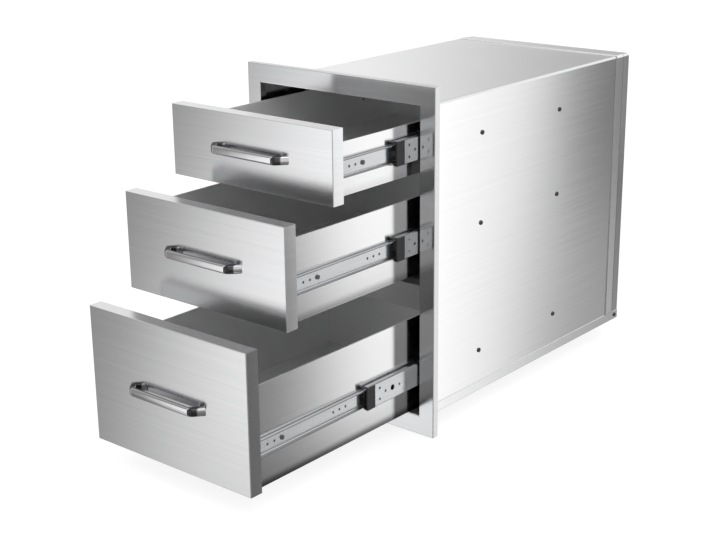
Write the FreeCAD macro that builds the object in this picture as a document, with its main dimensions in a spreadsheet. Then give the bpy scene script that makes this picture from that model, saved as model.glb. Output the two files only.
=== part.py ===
"""Built-in three drawer unit for an outdoor kitchen, in brushed stainless sheet.

Row frame: X to the right, Y towards the back, Z up, in millimetres. The origin is on
the plane where the face frame's rear lips seat on the island, at the middle of the
frame's bottom edge. The drawers are drawn pulled out, each by its own extension.
"""
import FreeCAD, Part
import Sketcher
import math
import os

doc = FreeCAD.newDocument("DrawerUnit")
sheet = doc.addObject("Spreadsheet::Sheet", "Sizes")

# Driving sizes: alias, value in millimetres, and what it measures
DRIVING_SIZES = [
    ("flange_width", 355.6, "face frame, side to side"),
    ("flange_height", 523.8, "face frame, bottom to top"),
    ("flange_depth", 11.0, "face frame, front face to the seating plane"),
    ("flange_sheet", 1.0, "thickness of the face frame's sheet"),
    ("flange_edge_radius", 0.9, "bend at the face frame's front edges"),
    ("stile_width", 25.4, "face frame, outer edge to opening, at the sides"),
    ("top_rail", 27.5, "face frame, outer edge to opening, at the top"),
    ("bottom_rail", 28.3, "face frame, outer edge to opening, at the bottom"),
    ("seat_lip", 12.0, "width of the rear lips that seat on the island"),
    ("tab_clearance", 0.4, "front tabs of the cabinet to the opening's returns"),
    ("wall_overlap", 9.6, "cabinet's side walls outside the opening"),
    ("body_depth", 550.0, "seating plane to the back of the cabinet"),
    ("wall_sheet", 1.0, "thickness of the cabinet's sheets"),
    ("wrap_radius", 4.0, "outer bend radius of the wrap's top corners"),
    ("tray_rim", 15.0, "height of the bottom tray's side rims"),
    ("tray_edge_radius", 0.9, "bend at the bottom tray's lower edges"),
    ("cover_lap", 20.0, "how far the back cover laps over the wrap"),
    ("cover_box", 20.0, "depth of the back cover behind its joggle"),
    ("cover_gap", 0.8, "back cover's rims above the tray's rims"),
    ("lap_clearance", 0.5, "rear edge of the wrap to the cover's joggle"),
    ("rail_height", 38.0, "cross rail, bottom to top"),
    ("rail_depth", 25.0, "cross rail, front to back"),
    ("rail_sheet", 1.2, "thickness of the cross rail"),
    ("rail_clearance", 3.0, "cross rail above the bottom drawer's rim"),
    ("rail_setback", 2.0, "cross rail behind the closed drawer fronts"),
    ("front_clearance", 1.95, "drawer front to the opening at each side"),
    ("bottom_gap", 6.9, "bottom drawer front above the opening's edge"),
    ("front_gap", 5.45, "between two drawer fronts"),
    ("front_depth", 21.0, "depth of a drawer front's pan"),
    ("front_sheet", 1.0, "thickness of a drawer front's pan"),
    ("front_edge_radius", 0.9, "bend at the drawer front's edges"),
    ("front_lip", 10.0, "width of the pan's rear lips"),
    ("liner_sheet", 1.0, "thickness of the plate behind the pan"),
    ("liner_inset", 1.5, "liner inside the pan's outline"),
    ("box_sheet", 1.0, "thickness of a drawer box"),
    ("box_length", 470.0, "drawer box, behind its front wall"),
    ("hem_height", 8.0, "folded hem along the drawer box's rim"),
    ("top_front_height", 103.1, "top drawer front"),
    ("top_box_raise", 7.0, "top box above its front's lower edge"),
    ("top_box_height", 73.5, "top box"),
    ("top_slide_raise", 39.0, "top slides' centre above the box's floor"),
    ("top_extension", 184.5, "top drawer pulled out"),
    ("top_runner_travel", 74.0, "top middle members pulled out"),
    ("middle_front_height", 141.9, "middle drawer front"),
    ("middle_box_raise", 4.0, "middle box above its front's lower edge"),
    ("middle_box_height", 115.5, "middle box"),
    ("middle_slide_raise", 52.0, "middle slides' centre above the box's floor"),
    ("middle_extension", 280.0, "middle drawer pulled out"),
    ("middle_runner_travel", 74.0, "middle drawer's middle members pulled out"),
    ("bottom_front_height", 201.5, "bottom drawer front"),
    ("bottom_box_raise", 1.0, "bottom box above its front's lower edge"),
    ("bottom_box_height", 145.5, "bottom box"),
    ("bottom_slide_raise", 58.5, "bottom slides' centre above the box's floor"),
    ("bottom_extension", 357.0, "bottom drawer pulled out"),
    ("bottom_runner_travel", 142.0, "bottom drawer's middle members pulled out"),
    ("slide_length", 450.0, "each member of a slide"),
    ("slide_setback", 3.0, "slides behind the closed drawer front's liner"),
    ("slide_thickness", 12.7, "slide, upright to drawer box"),
    ("slide_sheet", 1.2, "thickness of the slide's members"),
    ("outer_height", 45.0, "cabinet member, bottom to top"),
    ("outer_depth", 10.5, "cabinet member, web to lips"),
    ("outer_lip", 2.4, "lips of the cabinet member"),
    ("middle_height", 36.0, "middle member, bottom to top"),
    ("middle_offset", 3.0, "middle member's web from the slide's mounting face"),
    ("middle_depth", 8.2, "middle member, web to lips"),
    ("middle_lip", 2.6, "lips of the middle member"),
    ("inner_height", 25.2, "drawer member, bottom to top"),
    ("inner_depth", 6.5, "drawer member, web to edges"),
    ("race_cut", 0.8, "inside bend of the rolled ball races"),
    ("access_hole_radius", 4.5, "screwdriver holes in the middle member"),
    ("access_hole_pitch", 160.0, "screwdriver holes, centre to centre"),
    ("access_hole_start", 56.0, "first screwdriver hole behind the member's front"),
    ("punched_radius", 2.2, "small holes punched in the slide's members"),
    ("punched_near", 16.0, "small holes beside the first screwdriver hole"),
    ("punched_pair_start", 27.0, "pair of small holes behind the member's front"),
    ("punched_pair_rise", 8.5, "pair of small holes from the member's middle"),
    ("punched_front", 18.0, "first small hole behind the drawer member's front"),
    ("punched_middle", 150.0, "second row of small holes behind its front"),
    ("punched_pitch", 13.0, "small holes in a row, centre to centre"),
    ("cage_length", 200.0, "ball cage"),
    ("cage_start", 118.0, "closed ball cage behind the slide's front"),
    ("cage_strip", 1.0, "thickness of a ball cage"),
    ("outer_cage_depth", 7.2, "outer ball cage, web to strip edge"),
    ("inner_cage_depth", 5.0, "inner ball cage, web to strip edge"),
    ("cage_bridge", 16.0, "length of the cage's end bridges"),
    ("ball_play", 0.25, "balls to the races on both sides"),
    ("roller_length", 2.0, "balls are drawn as short rollers of this length"),
    ("ball_end", 20.0, "first and last ball to the cage's ends"),
    ("outer_ball_depth", 6.0, "outer balls' centres from the slide's mounting face"),
    ("inner_ball_depth", 8.1, "inner balls' centres from the slide's mounting face"),
    ("stop_length", 17.0, "plastic end stop, front to back"),
    ("stop_lead", 2.0, "end stop in front of the middle member"),
    ("stop_height", 34.0, "plastic end stop, bottom to top"),
    ("stop_play", 0.4, "end stop to the cabinet member's web"),
    ("upright_front", 126.0, "front uprights' centre behind the seating plane"),
    ("upright_rear", 337.0, "rear uprights' centre behind the seating plane"),
    ("upright_width", 30.0, "crown of an upright"),
    ("upright_foot", 10.0, "each foot of an upright along the wall"),
    ("upright_sheet", 1.2, "thickness of an upright"),
    ("upright_depth", 7.8, "upright, wall to slide"),
    ("upright_play", 0.5, "upright to the cabinet's floor and top bends"),
    ("screw_radius", 2.0, "shank of every screw"),
    ("screw_play", 0.1, "hole larger than its screw, in radius"),
    ("wall_head_radius", 3.6, "heads of the screws in the cabinet's walls"),
    ("wall_head_height", 1.8, "heads of the screws in the cabinet's walls"),
    ("slide_head_radius", 3.4, "heads of the screws in the drawer members"),
    ("slide_head_height", 1.6, "heads of the screws in the drawer members"),
    ("slide_screw_front", 46.0, "front screw behind the drawer member's front"),
    ("slide_screw_rear", 388.0, "rear screw behind the drawer member's front"),
    ("slide_screw_tip", 0.8, "screw tips inside the drawer box"),
    ("cover_screw_inset", 10.0, "cover screws in front of the cabinet's back"),
    ("cover_screw_height", 8.0, "cover screws above the tray's underside"),
    ("handle_length", 146.0, "handle over its feet"),
    ("handle_pitch", 128.0, "handle screws, centre to centre"),
    ("handle_foot", 12.5, "width of the handle's feet"),
    ("handle_flat", 110.0, "handle's bar between its shoulders"),
    ("handle_standoff", 16.5, "front of the handle from the drawer front"),
    ("handle_clear", 9.5, "finger room behind the handle"),
    ("handle_height", 12.5, "handle, bottom to top"),
    ("handle_shoulder", 9.0, "outer bend where the handle's legs lean back"),
    ("handle_screw_depth", 4.0, "handle screws into the feet"),
    ("handle_head_radius", 3.8, "heads of the handle screws"),
    ("handle_head_height", 2.4, "heads of the handle screws"),
]


def fill_sheet():
    """Write each driving size with its alias and its meaning."""
    for row, (alias, value, meaning) in enumerate(DRIVING_SIZES, start=1):
        sheet.set(f"A{row}", meaning)
        sheet.set(f"B{row}", str(value))
        sheet.setAlias(f"B{row}", alias)
    doc.recompute()


class Size:
    """A length: its present value, and the same as an expression on the sheet."""

    def __init__(self, value, text):
        self.value = value
        self.text = text

    def __float__(self):
        return self.value

    def __add__(self, other):
        return Size(float(self) + float(other), f"({self.text} + {written(other)})")

    def __radd__(self, other):
        return Size(float(other) + float(self), f"({written(other)} + {self.text})")

    def __sub__(self, other):
        return Size(float(self) - float(other), f"({self.text} - {written(other)})")

    def __rsub__(self, other):
        return Size(float(other) - float(self), f"({written(other)} - {self.text})")

    def __mul__(self, other):
        return Size(float(self) * float(other), f"({self.text} * {written(other)})")

    def __rmul__(self, other):
        return Size(float(other) * float(self), f"({written(other)} * {self.text})")

    def __truediv__(self, other):
        return Size(float(self) / float(other), f"({self.text} / {written(other)})")

    def __neg__(self):
        return Size(-float(self), f"(0 - {self.text})")


def written(value):
    """The text of a size or a plain number inside an expression."""
    return value.text if isinstance(value, Size) else str(value)


def size(alias):
    """The sheet's cell of that alias."""
    return Size(float(sheet.get(alias)), f"Sizes.{alias}")


def bind(thing, field, value):
    """Tie a field of a document object to a size."""
    if isinstance(value, Size):
        thing.setExpression(field, value.text)
    else:
        thing.setExpression(field, str(value))


# Sketches and features

PLANE_ROLES = {"X": "YZ_Plane", "Y": "XZ_Plane", "Z": "XY_Plane"}


def new_body(label):
    """An empty body with its own label."""
    body = doc.addObject("PartDesign::Body", label)
    body.Label = label
    return body


def new_sketch(body, along, start):
    """A sketch square to a row axis, at a place along that axis."""
    sketch = body.newObject("Sketcher::SketchObject", f"{body.Label}_sketch")
    role = PLANE_ROLES[along]
    plane = next(item for item in body.Origin.OriginFeatures if item.Role == role)
    sketch.AttachmentSupport = [(plane, "")]
    sketch.MapMode = "FlatFace"
    # the front plane's normal points to the front, so its offset is turned round
    bind(sketch, "AttachmentOffset.Base.z", -start if along == "Y" else start)
    return sketch


def place(x, y):
    """A sketch point at its present size."""
    return FreeCAD.Vector(float(x), float(y), 0)


def pin(sketch, edge, vertex, x, y):
    """Hold a sketch vertex at two sizes, measured from the sketch's origin."""
    for kind, value in (("DistanceX", x), ("DistanceY", y)):
        index = sketch.addConstraint(
            Sketcher.Constraint(kind, -1, 1, edge, vertex, float(value))
        )
        if isinstance(value, Size):
            bind(sketch, f"Constraints[{index}]", value)


def join(sketch, edge, vertex, next_edge, next_vertex):
    """Make two sketch vertices one."""
    sketch.addConstraint(
        Sketcher.Constraint("Coincident", edge, vertex, next_edge, next_vertex)
    )


def draw_line(sketch, start, end):
    """A straight edge between two pinned points."""
    edge = sketch.addGeometry(Part.LineSegment(place(*start), place(*end)), False)
    pin(sketch, edge, 1, *start)
    pin(sketch, edge, 2, *end)
    return edge


def draw_arc(sketch, start, through, end, radius):
    """A round edge; returns it with the vertices at its start and its end."""
    first, last = place(*start), place(*end)
    turns_left = (through - first).cross(last - through).z > 0
    if not turns_left:
        first, last = last, first
    edge = sketch.addGeometry(Part.Arc(first, through, last), False)
    index = sketch.addConstraint(Sketcher.Constraint("Radius", edge, float(radius)))
    bind(sketch, f"Constraints[{index}]", radius)
    return edge, (1 if turns_left else 2), (2 if turns_left else 1)


def step_towards(here, there):
    """The direction of an edge that runs along a sketch axis."""
    run = there - here
    run.normalize()
    return round(run.x), round(run.y)


def draw_loop(sketch, corners):
    """A closed outline; a corner may carry a bend radius, or a cut and its leg."""
    spots = [place(corner[0], corner[1]) for corner in corners]
    count = len(corners)
    entries, exits, bends = [], [], []
    for index, corner in enumerate(corners):
        x, y = corner[0], corner[1]
        if len(corner) == 2:
            entries.append((x, y))
            exits.append((x, y))
            bends.append(None)
            continue
        leg = corner[2]
        arrive = step_towards(spots[index - 1], spots[index])
        leave = step_towards(spots[index], spots[(index + 1) % count])
        entries.append((x - arrive[0] * leg, y - arrive[1] * leg))
        exits.append((x + leave[0] * leg, y + leave[1] * leg))
        pull = float(leg) * (1 - math.sqrt(0.5))
        through = spots[index] + FreeCAD.Vector(
            pull * (leave[0] - arrive[0]), pull * (leave[1] - arrive[1]), 0
        )
        bends.append((through, leg, len(corner) == 4))
    lines = [
        draw_line(sketch, exits[index], entries[(index + 1) % count])
        for index in range(count)
    ]
    for index in range(count):
        if bends[index] is None:
            continue
        through, leg, is_cut = bends[index]
        if is_cut:
            draw_line(sketch, entries[index], exits[index])
            continue
        arc, first, last = draw_arc(sketch, entries[index], through, exits[index], leg)
        join(sketch, lines[index - 1], 2, arc, first)
        join(sketch, lines[index], 1, arc, last)


def rectangle(x0, x1, y0, y1):
    """Corners of a rectangle between two pairs of sizes."""
    return [(x0, y0), (x1, y0), (x1, y1), (x0, y1)]


def add_pad(body, along, start, length, loops):
    """Add material between two places along a row axis."""
    sketch = new_sketch(body, along, start)
    for corners in loops:
        draw_loop(sketch, corners)
    pad = body.newObject("PartDesign::Pad", f"{body.Label}_pad")
    pad.Profile = sketch
    pad.Reversed = along == "Y"
    bind(pad, "Length", length)
    body.Tip = pad
    return pad


def add_pocket(body, along, start, length, loops):
    """Remove material between two places along a row axis."""
    sketch = new_sketch(body, along, start)
    for corners in loops:
        draw_loop(sketch, corners)
    pocket = body.newObject("PartDesign::Pocket", f"{body.Label}_pocket")
    pocket.Profile = sketch
    pocket.Reversed = along != "Y"
    bind(pocket, "Length", length)
    body.Tip = pocket
    return pocket


def round_edges(body, radius, chosen):
    """Fillet the edges of the body's present shape that a test picks."""
    doc.recompute()
    base = body.Tip
    names = [
        f"Edge{number}"
        for number, edge in enumerate(base.Shape.Edges, start=1)
        if chosen(edge)
    ]
    fillet = body.newObject("PartDesign::Fillet", f"{body.Label}_edges")
    fillet.Base = (base, names)
    bind(fillet, "Radius", radius)
    body.Tip = fillet


def lies_at(edge, axis, value):
    """True for an edge whose every vertex has one coordinate."""
    near = 0.001
    return all(
        abs(getattr(vertex.Point, axis) - float(value)) < near
        for vertex in edge.Vertexes
    )


def front_rim(y, x_half, z_low, z_high):
    """A test for the straight edges round the front face of a pan."""

    def chosen(edge):
        if not lies_at(edge, "y", y):
            return False
        at_sides = lies_at(edge, "x", x_half) or lies_at(edge, "x", -x_half)
        return at_sides or lies_at(edge, "z", z_low) or lies_at(edge, "z", z_high)

    return chosen


# Screws and groups of like pieces

TURNS = {
    "+X": FreeCAD.Rotation(FreeCAD.Vector(0, 1, 0), 90),
    "-X": FreeCAD.Rotation(FreeCAD.Vector(0, 1, 0), -90),
    "-Y": FreeCAD.Rotation(FreeCAD.Vector(1, 0, 0), 90),
}
STEPS = {"+X": (1, 0, 0), "-X": (-1, 0, 0), "-Y": (0, -1, 0)}


def set_place(thing, spot, direction):
    """Stand a primitive on a spot, its own axis along a row axis."""
    thing.Placement = FreeCAD.Placement(FreeCAD.Vector(), TURNS[direction])
    for axis, value in zip("xyz", spot):
        bind(thing, f"Placement.Base.{axis}", value)


def make_prism(label, radius, length, spot, direction, sides=8):
    """A round bar drawn with flats, from a spot along a row axis."""
    prism = doc.addObject("Part::Prism", label)
    prism.Polygon = sides
    bind(prism, "Circumradius", radius)
    bind(prism, "Height", length)
    set_place(prism, spot, direction)
    return prism


def make_screw(label, spot, direction, shank, head_radius, head_height):
    """A screw seated at a spot: the shank runs along the direction, the head back."""
    step = STEPS[direction]
    head_spot = [value - sign * head_height for value, sign in zip(spot, step)]
    head = make_prism(f"{label}_head", head_radius, head_height, head_spot, direction)
    stem = make_prism(f"{label}_shank", size("screw_radius"), shank, spot, direction)
    screw = doc.addObject("Part::Fuse", label)
    screw.Base = head
    screw.Tool = stem
    return screw


def drill(blank, spots, direction, depth, radius, sides=8):
    """The piece with like holes drilled through it, under the piece's own label."""
    return drill_sizes(blank, [(spots, radius, sides)], direction, depth)


def drill_sizes(blank, sets, direction, depth):
    """The piece with holes of several sizes; each set has spots, radius and sides."""
    label = blank.Label
    blank.Label = f"{label}_blank"
    bits = [
        make_prism(f"{label}_bit", radius, depth, spot, direction, sides)
        for spots, radius, sides in sets
        for spot in spots
    ]
    bit_set = doc.addObject("Part::Compound", f"{label}_bits")
    bit_set.Links = bits
    drilled = doc.addObject("Part::Cut", label)
    drilled.Label = label
    drilled.Base = blank
    drilled.Tool = bit_set
    return drilled


def make_group(label, pieces):
    """Like pieces that share one node, each still a solid of its own."""
    group = doc.addObject("Part::Compound", label)
    group.Label = label
    group.Links = pieces
    return group


fill_sheet()

# Places that several sub-parts share

flange_sheet = size("flange_sheet")
wall_sheet = size("wall_sheet")
front_face = -size("flange_depth")
opening_half = size("flange_width") / 2 - size("stile_width")
opening_low = size("bottom_rail")
opening_high = size("flange_height") - size("top_rail")
body_half = opening_half + size("wall_overlap")
inner_half = body_half - wall_sheet
floor_top = opening_low + wall_sheet
tab_half = opening_half - size("tab_clearance")
tab_start = front_face + flange_sheet
cover_step = size("body_depth") - size("cover_box")
slide_face = inner_half - size("upright_depth")
box_half = slide_face - size("slide_thickness")
front_thickness = size("front_depth") + size("liner_sheet")
slide_start = front_face + front_thickness + size("slide_setback")
hole_radius = size("screw_radius") + size("screw_play")
upright_places = {"front": size("upright_front"), "rear": size("upright_rear")}
SIDES = {"left": -1, "right": 1}
DRAWERS = ("bottom", "middle", "top")


def front_low(drawer):
    """The lower edge of a drawer's front."""
    edge = opening_low + size("bottom_gap")
    for below in DRAWERS[: DRAWERS.index(drawer)]:
        edge = edge + size(f"{below}_front_height") + size("front_gap")
    return edge


def front_high(drawer):
    """The upper edge of a drawer's front."""
    return front_low(drawer) + size(f"{drawer}_front_height")


def box_low(drawer):
    """The underside of a drawer's box."""
    return front_low(drawer) + size(f"{drawer}_box_raise")


def box_high(drawer):
    """The rim of a drawer's box."""
    return box_low(drawer) + size(f"{drawer}_box_height")


def slide_middle(drawer):
    """The height of a drawer's slides."""
    return box_low(drawer) + size(f"{drawer}_slide_raise")


def panel_face(drawer):
    """The front face of a drawer's front as drawn, pulled out."""
    return front_face - size(f"{drawer}_extension")


# The face frame, the cabinet and what is welded in it


def make_face_frame():
    """A flat-tube frame: face, outer and inner returns, and lips that seat."""
    body = new_body("face_frame")
    half = size("flange_width") / 2
    high = size("flange_height")
    depth = size("flange_depth")
    lip = size("seat_lip")
    outline = rectangle(-half, half, 0, high)
    opening = rectangle(-opening_half, opening_half, opening_low, opening_high)
    inside = rectangle(
        -half + flange_sheet, half - flange_sheet, flange_sheet, high - flange_sheet
    )
    around = rectangle(
        -opening_half - flange_sheet,
        opening_half + flange_sheet,
        opening_low - flange_sheet,
        opening_high + flange_sheet,
    )
    lip_edge = rectangle(-half + lip, half - lip, lip, high - lip)
    behind = depth - flange_sheet
    add_pad(body, "Y", front_face, flange_sheet, [outline, opening])
    add_pad(body, "Y", tab_start, behind, [outline, inside])
    add_pad(body, "Y", tab_start, behind, [around, opening])
    add_pad(body, "Y", -flange_sheet, flange_sheet, [outline, lip_edge])
    radius = size("flange_edge_radius")
    round_edges(body, radius, front_rim(front_face, half, 0, high))
    return body


def hood(half, top, thickness, base, radius=None):
    """Corners of an arch of sheet: two legs and a top, with its thickness inside."""
    outer = (radius,) if radius is not None else ()
    inner = (radius - thickness,) if radius is not None else ()
    return [
        (-half, base),
        (-half, top, *outer),
        (half, top, *outer),
        (half, base),
        (half - thickness, base),
        (half - thickness, top - thickness, *inner),
        (-half + thickness, top - thickness, *inner),
        (-half + thickness, base),
    ]


def slide_screw_places():
    """Every wall screw's place along Y and Z."""
    return [
        (upright, slide_middle(drawer))
        for upright in upright_places.values()
        for drawer in DRAWERS
    ]


def make_cabinet_wrap():
    """Both side walls and the top, folded from one sheet, with welded flanges."""
    body = new_body("cabinet_wrap")
    radius = size("wrap_radius")
    length = cover_step - size("lap_clearance")
    profile = hood(body_half, opening_high, wall_sheet, floor_top, radius)
    add_pad(body, "Y", 0, length, [profile])
    tab = rectangle(-tab_half, tab_half, opening_high - wall_sheet, opening_high)
    add_pad(body, "Y", tab_start, -tab_start, [tab])
    flange_high = opening_high - radius
    for side in SIDES.values():
        flange = rectangle(
            side * opening_half, side * body_half, floor_top, flange_high
        )
        add_pad(body, "Y", 0, wall_sheet, [flange])
    start = -body_half - wall_sheet
    spots = [(start, y, z) for y, z in slide_screw_places()]
    return drill(body, spots, "+X", -2 * start, hole_radius)


def cover_screw_place():
    """The cover screws' place along Y and Z."""
    y = size("body_depth") - size("cover_screw_inset")
    z = opening_low + size("cover_screw_height")
    return y, z


def make_bottom_tray():
    """The floor, with rims turned up outside the side walls."""
    body = new_body("bottom_tray")
    half = body_half + wall_sheet
    high = opening_low + size("tray_rim")
    radius = size("tray_edge_radius")
    profile = [
        (-half, opening_low, radius),
        (half, opening_low, radius),
        (half, high),
        (body_half, high),
        (body_half, floor_top),
        (-body_half, floor_top),
        (-body_half, high),
        (-half, high),
    ]
    add_pad(body, "Y", 0, size("body_depth"), [profile])
    tab = rectangle(-tab_half, tab_half, opening_low, floor_top)
    add_pad(body, "Y", tab_start, -tab_start, [tab])
    y, z = cover_screw_place()
    start = -half - wall_sheet
    return drill(body, [(start, y, z)], "+X", -2 * start, hole_radius)


def make_back_cover():
    """A shallow pan whose joggled rims lap over the rear edges of the wrap."""
    body = new_body("back_cover")
    radius = size("wrap_radius")
    lap_low = opening_low + size("tray_rim") + size("cover_gap")
    lap_half = body_half + wall_sheet
    lap_high = opening_high + wall_sheet
    lap = hood(lap_half, lap_high, wall_sheet, lap_low, radius + wall_sheet)
    lap_start = cover_step - size("cover_lap")
    add_pad(body, "Y", lap_start, size("cover_lap"), [lap])
    joggle = hood(lap_half, lap_high, 2 * wall_sheet, lap_low, radius + wall_sheet)
    add_pad(body, "Y", cover_step, wall_sheet, [joggle])
    shell = hood(body_half, opening_high, wall_sheet, floor_top, radius)
    add_pad(body, "Y", cover_step, size("cover_box"), [shell])
    plate = [
        (-body_half, floor_top),
        (-body_half, opening_high, radius),
        (body_half, opening_high, radius),
        (body_half, floor_top),
    ]
    add_pad(body, "Y", size("body_depth") - wall_sheet, wall_sheet, [plate])
    y, z = cover_screw_place()
    start = -body_half - wall_sheet
    return drill(body, [(start, y, z)], "+X", -2 * start, hole_radius)


def make_cross_rail():
    """A channel across the cabinet between the two lower drawers."""
    body = new_body("cross_rail")
    gauge = size("rail_sheet")
    low = box_high("bottom") + size("rail_clearance")
    high = low + size("rail_height")
    near = front_face + front_thickness + size("rail_setback")
    far = near + size("rail_depth")
    profile = [
        (near, low),
        (far, low),
        (far, low + gauge),
        (near + gauge, low + gauge),
        (near + gauge, high - gauge),
        (far, high - gauge),
        (far, high),
        (near, high),
    ]
    add_pad(body, "X", -inner_half, 2 * inner_half, [profile])
    return body


def make_upright(where, side_name):
    """A hat channel on a side wall that carries the slides."""
    body = new_body(f"{where}_upright_{side_name}")
    side = SIDES[side_name]
    gauge = size("upright_sheet")
    centre = upright_places[where]
    half = size("upright_width") / 2
    foot = half + size("upright_foot")
    wall = side * inner_half
    crown = side * slide_face
    foot_face = side * (inner_half - gauge)
    under_crown = side * (slide_face + gauge)
    profile = [
        (wall, centre - foot),
        (foot_face, centre - foot),
        (foot_face, centre - half),
        (crown, centre - half),
        (crown, centre + half),
        (foot_face, centre + half),
        (foot_face, centre + foot),
        (wall, centre + foot),
        (wall, centre + half - gauge),
        (under_crown, centre + half - gauge),
        (under_crown, centre - half + gauge),
        (wall, centre - half + gauge),
    ]
    low = floor_top + size("upright_play")
    high = opening_high - size("wrap_radius") - size("upright_play")
    add_pad(body, "Z", low, high - low, [profile])
    start = slide_face - gauge if side > 0 else -slide_face - 2 * gauge
    spots = [(start, centre, slide_middle(drawer)) for drawer in DRAWERS]
    return drill(body, spots, "+X", 3 * gauge, hole_radius)


def make_wall_screws():
    """The screws that hold the slides, with their heads outside the side walls."""
    screws = []
    shank = body_half - slide_face + size("slide_sheet")
    for side_name, side in SIDES.items():
        direction = "-X" if side > 0 else "+X"
        for number, (y, z) in enumerate(slide_screw_places(), start=1):
            screws.append(
                make_screw(
                    f"wall_screw_{side_name}_{number}",
                    (side * body_half, y, z),
                    direction,
                    shank,
                    size("wall_head_radius"),
                    size("wall_head_height"),
                )
            )
    return make_group("wall_screws", screws)


def make_cover_screws():
    """The screws through the tray's rims into the back cover."""
    screws = []
    y, z = cover_screw_place()
    for side_name, side in SIDES.items():
        screws.append(
            make_screw(
                f"cover_screw_{side_name}",
                (side * (body_half + wall_sheet), y, z),
                "-X" if side > 0 else "+X",
                3 * wall_sheet,
                size("wall_head_radius"),
                size("wall_head_height"),
            )
        )
    return make_group("cover_screws", screws)


# The telescopic slides: three nested members, their ball cages and end stops


def slide_point(side, across, height, drawer):
    """A point of a slide's section, measured from its mounting face and middle."""
    return side * (slide_face - across), slide_middle(drawer) + height


def channel(side, drawer, web, depth, height, lip, reach=1):
    """Corners of a member with rolled races; lip is None for a plain channel."""
    gauge = size("slide_sheet")
    # the outer leg that keeps the sheet's thickness at a bend drawn as a 45 degree cut
    inner = size("race_cut")
    outer = inner + gauge * (2 - math.sqrt(2))
    half = height / 2
    edge = web + reach * depth
    inside = web + reach * gauge
    if lip is None:
        corners = [
            (web, -half, outer),
            (edge, -half),
            (edge, -half + gauge),
            (inside, -half + gauge, inner),
            (inside, half - gauge, inner),
            (edge, half - gauge),
            (edge, half),
            (web, half, outer),
        ]
    else:
        tip = edge - reach * gauge
        corners = [
            (web, -half, outer),
            (edge, -half, outer),
            (edge, -half + lip),
            (tip, -half + lip),
            (tip, -half + gauge, inner),
            (inside, -half + gauge, inner),
            (inside, half - gauge, inner),
            (tip, half - gauge, inner),
            (tip, half - lip),
            (edge, half - lip),
            (edge, half, outer),
            (web, half, outer),
        ]
    placed = []
    for corner in corners:
        spot = slide_point(side, corner[0], corner[1], drawer)
        cut = (corner[2], "cut") if len(corner) == 3 else ()
        placed.append((*spot, *cut))
    return placed


def make_cabinet_member(drawer, side_name):
    """The slide's outer member, screwed to the uprights."""
    body = new_body(f"{drawer}_cabinet_member_{side_name}")
    side = SIDES[side_name]
    profile = channel(
        side,
        drawer,
        0,
        size("outer_depth"),
        size("outer_height"),
        size("outer_lip"),
    )
    add_pad(body, "Y", slide_start, size("slide_length"), [profile])
    gauge = size("slide_sheet")
    start = slide_face - 2 * gauge if side > 0 else -slide_face - gauge
    spots = [
        (start, upright, slide_middle(drawer)) for upright in upright_places.values()
    ]
    return drill(body, spots, "+X", 3 * gauge, hole_radius)


def make_middle_member(drawer, side_name):
    """The slide's middle member, with screwdriver holes in its web."""
    body = new_body(f"{drawer}_middle_member_{side_name}")
    side = SIDES[side_name]
    web = size("middle_offset")
    profile = channel(
        side,
        drawer,
        web,
        size("middle_depth"),
        size("middle_height"),
        size("middle_lip"),
    )
    start = slide_start - size(f"{drawer}_runner_travel")
    add_pad(body, "Y", start, size("slide_length"), [profile])
    hole_first = start + size("access_hole_start")
    hole_count = 3
    gauge = size("slide_sheet")
    face = slide_face - web
    low = face - 2 * gauge if side > 0 else -face - gauge
    middle = slide_middle(drawer)
    wide_spots = [
        (low, hole_first + number * size("access_hole_pitch"), middle)
        for number in range(hole_count)
    ]
    near = size("punched_near")
    pair = start + size("punched_pair_start")
    rise = size("punched_pair_rise")
    small_spots = [
        (low, pair, middle - rise),
        (low, pair, middle + rise),
        (low, hole_first - near, middle),
        (low, hole_first + near, middle),
    ]
    wide_bits = (wide_spots, size("access_hole_radius"), 8)
    small_bits = (small_spots, size("punched_radius"), 6)
    return drill_sizes(body, [wide_bits, small_bits], "+X", 3 * gauge)


def member_screw_places(drawer):
    """The drawer member's screws along Y and Z, at the drawn extension."""
    start = slide_start - size(f"{drawer}_extension")
    return [
        (start + size(name), slide_middle(drawer))
        for name in ("slide_screw_front", "slide_screw_rear")
    ]


def make_drawer_member(drawer, side_name):
    """The slide's inner member, screwed to the drawer box."""
    body = new_body(f"{drawer}_drawer_member_{side_name}")
    side = SIDES[side_name]
    profile = channel(
        side,
        drawer,
        size("slide_thickness"),
        size("inner_depth"),
        size("inner_height"),
        None,
        reach=-1,
    )
    start = slide_start - size(f"{drawer}_extension")
    add_pad(body, "Y", start, size("slide_length"), [profile])
    gauge = size("slide_sheet")
    low = box_half - gauge if side > 0 else -box_half - 2 * gauge
    screw_spots = [(low, y, z) for y, z in member_screw_places(drawer)]
    pitch = size("punched_pitch")
    front = start + size("punched_front")
    middle = start + size("punched_middle")
    rows = [front, front + pitch, middle, middle + pitch, middle + 2 * pitch]
    small_spots = [(low, y, slide_middle(drawer)) for y in rows]
    screw_bits = (screw_spots, hole_radius, 8)
    small_bits = (small_spots, size("punched_radius"), 6)
    return drill_sizes(body, [screw_bits, small_bits], "+X", 3 * gauge)


def between_races(wide, narrow):
    """Height and radius of the balls between a member and the one nested in it."""
    wide_race = size(f"{wide}_height") / 2 - size("slide_sheet")
    narrow_race = size(f"{narrow}_height") / 2
    height = (wide_race + narrow_race) / 2
    return height, (wide_race - narrow_race) / 2 - size("ball_play")


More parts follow.
